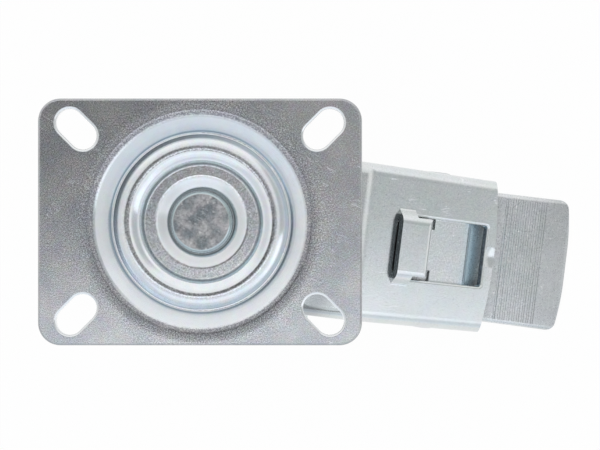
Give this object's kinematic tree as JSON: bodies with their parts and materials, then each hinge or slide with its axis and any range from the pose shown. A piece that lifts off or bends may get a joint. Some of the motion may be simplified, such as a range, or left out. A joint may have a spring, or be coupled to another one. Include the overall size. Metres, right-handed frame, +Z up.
{
  "type": "swivel caster wheel",
  "caption": "Zinc-plated swivel castor with a pressed rectangular plate, double ball race, rubber-tyred wheel and a rear pedal brake under a hooded fork.",
  "frame": {"origin": "middle of the mounting plate's top face, on the swivel axis", "axes": "+Z up out of the plate's top face, +X along the plate's long side towards the pedal, +Y along its short side"},
  "size_m": [0.1797, 0.08, 0.128],
  "materials": {
    "zinc_plate": "bright zinc, mottled grain",
    "zinc_sheet": "bright zinc, bluish, smooth",
    "bare_steel": "bare formed rivet steel, grey and slightly rough",
    "ball_steel": "polished and greased",
    "spring_steel": "zinc-plated spring strip",
    "fastener_zinc": "zinc plated",
    "tyre_rubber": "matt black solid rubber",
    "bearing_plastic": "matt black plastic"
  },
  "bodies": {
    "plate": {"top_plate": "zinc_plate", "kingpin_rivet": "bare_steel", "lower_race_cup": "zinc_plate"},
    "fork": {"fork": "zinc_sheet", "upper_balls": "ball_steel", "lower_balls": "ball_steel", "detent_spring": "spring_steel", "brake_pivot_pin": "fastener_zinc", "axle_bolt": "fastener_zinc", "axle_nut": "fastener_zinc", "axle_washer_left": "fastener_zinc", "axle_washer_right": "fastener_zinc", "axle_tube": "bare_steel"},
    "wheel": {"tyre": "tyre_rubber", "rim_disc_left": "zinc_sheet", "rim_disc_right": "zinc_sheet", "rim_rivets": "fastener_zinc", "hub_tube": "bare_steel", "roller_cage": "bearing_plastic", "rollers": "ball_steel", "bearing_cap_left": "bearing_plastic", "bearing_cap_right": "bearing_plastic"},
    "pedal": {"brake_pedal": "zinc_sheet", "brake_shoe": "bare_steel"}
  },
  "joints": [
    {"name": "swivel", "type": "hinge", "parent": "plate", "child": "fork", "pos_m": [0, 0, 0], "axis": [0, 0, 1], "continuous": true},
    {"name": "wheel_spin", "type": "hinge", "parent": "fork", "child": "wheel", "pos_m": [0.03175, -0.00396, -0.078], "axis": [0.1236, 0.9923, 0], "continuous": true},
    {"name": "brake_pedal_tilt", "type": "hinge", "parent": "fork", "child": "pedal", "pos_m": [0.07748, -0.00965, -0.03651], "axis": [0.1236, 0.9923, 0], "range_deg": [0, 25]}
  ]
}
